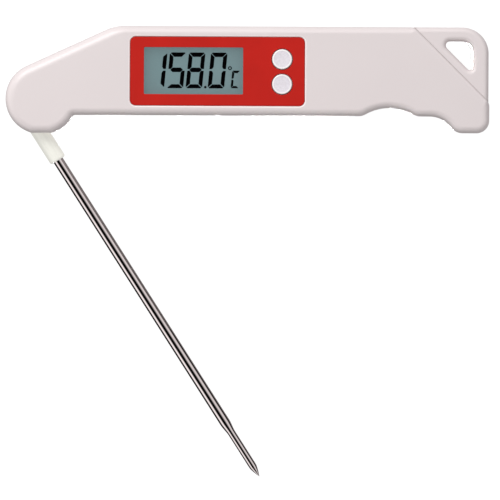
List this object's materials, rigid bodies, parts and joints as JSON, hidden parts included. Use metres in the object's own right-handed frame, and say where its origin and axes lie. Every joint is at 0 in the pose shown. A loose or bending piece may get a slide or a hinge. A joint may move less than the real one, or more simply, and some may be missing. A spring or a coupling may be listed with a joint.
{
  "type": "meat thermometer",
  "caption": "Folding digital meat thermometer: handle with display and keys, steel probe that folds into a groove along its lower edge, and a hanging loop.",
  "frame": {"origin": "on the probe's pivot axis, in the plane of the flat back face", "axes": "+X along the handle to the hanging loop, +Y to the handle's top edge, +Z out of the display"},
  "size_m": [0.1549, 0.1441, 0.0173],
  "materials": {
    "shell": "smooth moulded white plastic with a soft gloss",
    "panel": "red printed panel, satin",
    "window": "clear flat window",
    "lcd": "grey-green liquid crystal glass with dark segments",
    "frame_plastic": "plain moulded white plastic",
    "dark_rubber": "dark rubber",
    "board": "green glass-fibre board with tracks",
    "resin": "black potting resin",
    "tinned": "tinned metal",
    "black_plastic": "black moulded plastic",
    "steel": "plain steel",
    "plated": "nickel plating",
    "contact": "plated spring metal",
    "wire": "insulated wire",
    "key": "white key with a finely grained top",
    "collar": "ivory translucent plastic",
    "polished_steel": "polished stainless steel",
    "lead": "enamelled copper lead"
  },
  "bodies": {
    "handle": {"front_cover": "shell", "rear_cover": "shell", "front_panel": "panel", "display_window": "window", "lcd_glass": "lcd", "lcd_frame": "frame_plastic", "zebra_strip": "dark_rubber", "circuit_board": "board", "controller_chip": "resin", "board_components": "tinned", "reed_switch": "tinned", "key_switches": "black_plastic", "board_screws": "steel", "case_screws": "steel", "back_magnets": "plated", "coin_cell": "plated", "positive_contact": "contact", "negative_contact": "contact", "power_wires": "wire", "sensor_wires": "wire", "thrust_washer": "frame_plastic", "wave_spring": "steel"},
    "cap": {"battery_cap": "shell", "cap_seal": "dark_rubber"},
    "upper_button": {"upper_key": "key", "upper_key_stem": "black_plastic"},
    "lower_button": {"lower_key": "key", "lower_key_stem": "black_plastic"},
    "probe": {"probe_hub": "collar", "probe_collar": "collar", "probe_tube": "polished_steel", "probe_tip": "polished_steel", "thermistor": "resin", "sensor_leads": "lead", "hub_magnet": "plated"}
  },
  "joints": [
    {"name": "probe_fold", "type": "hinge", "parent": "handle", "child": "probe", "pos_m": [0, 0, 0.0085], "axis": [0, 0, 1], "range_deg": [-122.75, 57.25]},
    {"name": "upper_key_press", "type": "slide", "parent": "handle", "child": "upper_button", "axis": [0, 0, -1], "range_m": [0, 0.0003], "stiffness_N_per_m": 900, "springref_m": -0.0002},
    {"name": "lower_key_press", "type": "slide", "parent": "handle", "child": "lower_button", "axis": [0, 0, -1], "range_m": [0, 0.0003], "stiffness_N_per_m": 900, "springref_m": -0.0002},
    {"name": "battery_cap_turn", "type": "hinge", "parent": "handle", "child": "cap", "pos_m": [0.1, 0.0091, 0], "axis": [0, 0, 1], "range_deg": [0, 60]}
  ]
}
